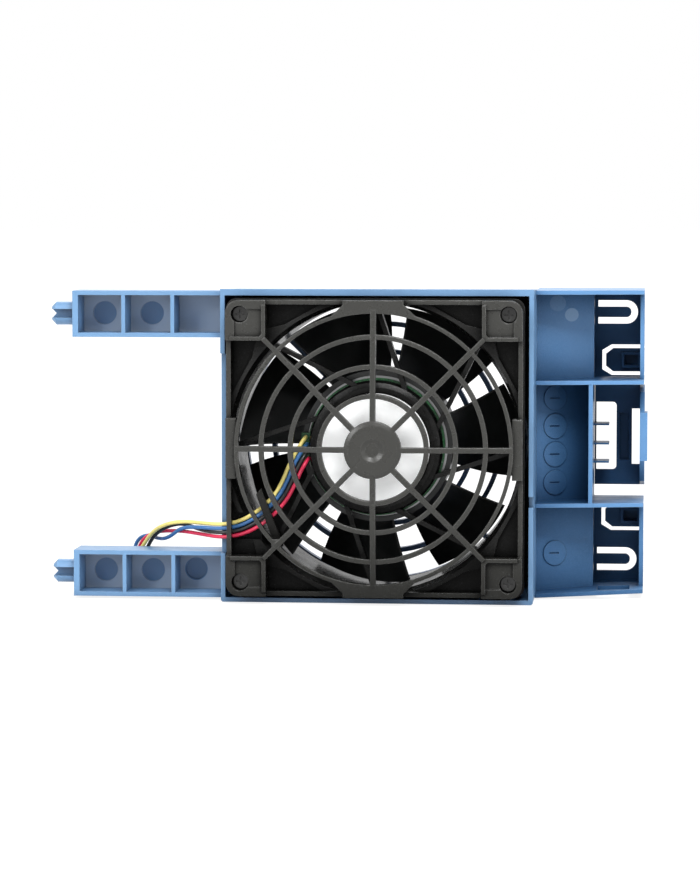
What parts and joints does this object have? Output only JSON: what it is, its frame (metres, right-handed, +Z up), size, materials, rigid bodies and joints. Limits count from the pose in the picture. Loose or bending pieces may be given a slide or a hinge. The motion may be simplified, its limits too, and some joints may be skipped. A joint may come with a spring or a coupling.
{
  "type": "server fan module",
  "caption": "Hot-swap cooling module: an axial fan with a ringed finger guard in a moulded carrier with guide arms, locating pins, sprung release latch, lock tongues and a blind-mate lead.",
  "frame": {"origin": "underside of the carrier's cage, below the fan's axis and half way through the cage's depth", "axes": "+X from the locating pins to the handle end, +Y from the finger guard to the rear grille, +Z up"},
  "size_m": [0.1856, 0.0604, 0.0969],
  "materials": {
    "carrier_plastic": "semi-gloss moulded polymer",
    "grille_plastic": "semi-gloss moulded polymer",
    "fan_plastic": "satin glass-filled moulding",
    "guard_plastic": "semi-gloss moulding",
    "rotor_plastic": "satin moulding",
    "isolator_rubber": "matt",
    "yoke_steel": "plated",
    "magnet": "bonded ferrite, matt",
    "ground_steel": "ground",
    "spring_steel": "oiled",
    "tube_brass": "turned",
    "lamination_steel": "varnished",
    "copper_wire": "enamelled copper",
    "board_green": "solder-resist green",
    "component_black": "moulded package",
    "label_white": "bare satin film",
    "connector_plastic": "natural nylon",
    "contact_tin": "tin plated",
    "wire_yellow": "PVC insulation",
    "wire_blue": "PVC insulation",
    "wire_black": "PVC insulation",
    "wire_red": "PVC insulation"
  },
  "bodies": {
    "carrier": {"carrier_frame": "carrier_plastic", "rear_grille": "grille_plastic", "guide_arm_upper": "carrier_plastic", "guide_arm_lower": "carrier_plastic", "handle_end": "carrier_plastic", "mould_dials": "carrier_plastic", "fan_housing": "fan_plastic", "motor_base": "fan_plastic", "finger_guard": "guard_plastic", "guard_pins": "guard_plastic", "isolators": "isolator_rubber", "bearing_tube": "tube_brass", "front_bearing": "ground_steel", "rear_bearing": "ground_steel", "stator_core": "lamination_steel", "stator_windings": "copper_wire", "circuit_board": "board_green", "board_components": "component_black", "motor_label": "label_white", "connector_housing": "connector_plastic", "connector_contacts": "contact_tin", "wire_yellow": "wire_yellow", "wire_blue": "wire_blue", "wire_black": "wire_black", "wire_red": "wire_red"},
    "rotor": {"impeller": "rotor_plastic", "rotor_yoke": "yoke_steel", "magnet_ring": "magnet", "rotor_shaft": "ground_steel", "shaft_clip": "spring_steel", "preload_washer": "spring_steel"},
    "latch": {"release_latch": "carrier_plastic"},
    "tongue_upper": {"lock_tongue_upper": "carrier_plastic"},
    "tongue_lower": {"lock_tongue_lower": "carrier_plastic"}
  },
  "joints": [
    {"name": "rotor_spin", "type": "hinge", "parent": "carrier", "child": "rotor", "pos_m": [0, 0, 0.0481], "axis": [0, 1, 0], "continuous": true},
    {"name": "latch_flex", "type": "hinge", "parent": "carrier", "child": "latch", "pos_m": [0.0665, 0.0235, 0.04945], "axis": [0, 0, 1], "range_deg": [-5, 0], "stiffness_Nm_per_rad": 0.5},
    {"name": "tongue_upper_flex", "type": "hinge", "parent": "carrier", "child": "tongue_upper", "pos_m": [0.08155, 0.0078, 0.07335], "axis": [0, 0, 1], "range_deg": [0, 3.5], "stiffness_Nm_per_rad": 0.4},
    {"name": "tongue_lower_flex", "type": "hinge", "parent": "carrier", "child": "tongue_lower", "pos_m": [0.08155, 0.0078, 0.0236], "axis": [0, 0, 1], "range_deg": [0, 3.5], "stiffness_Nm_per_rad": 0.4}
  ]
}
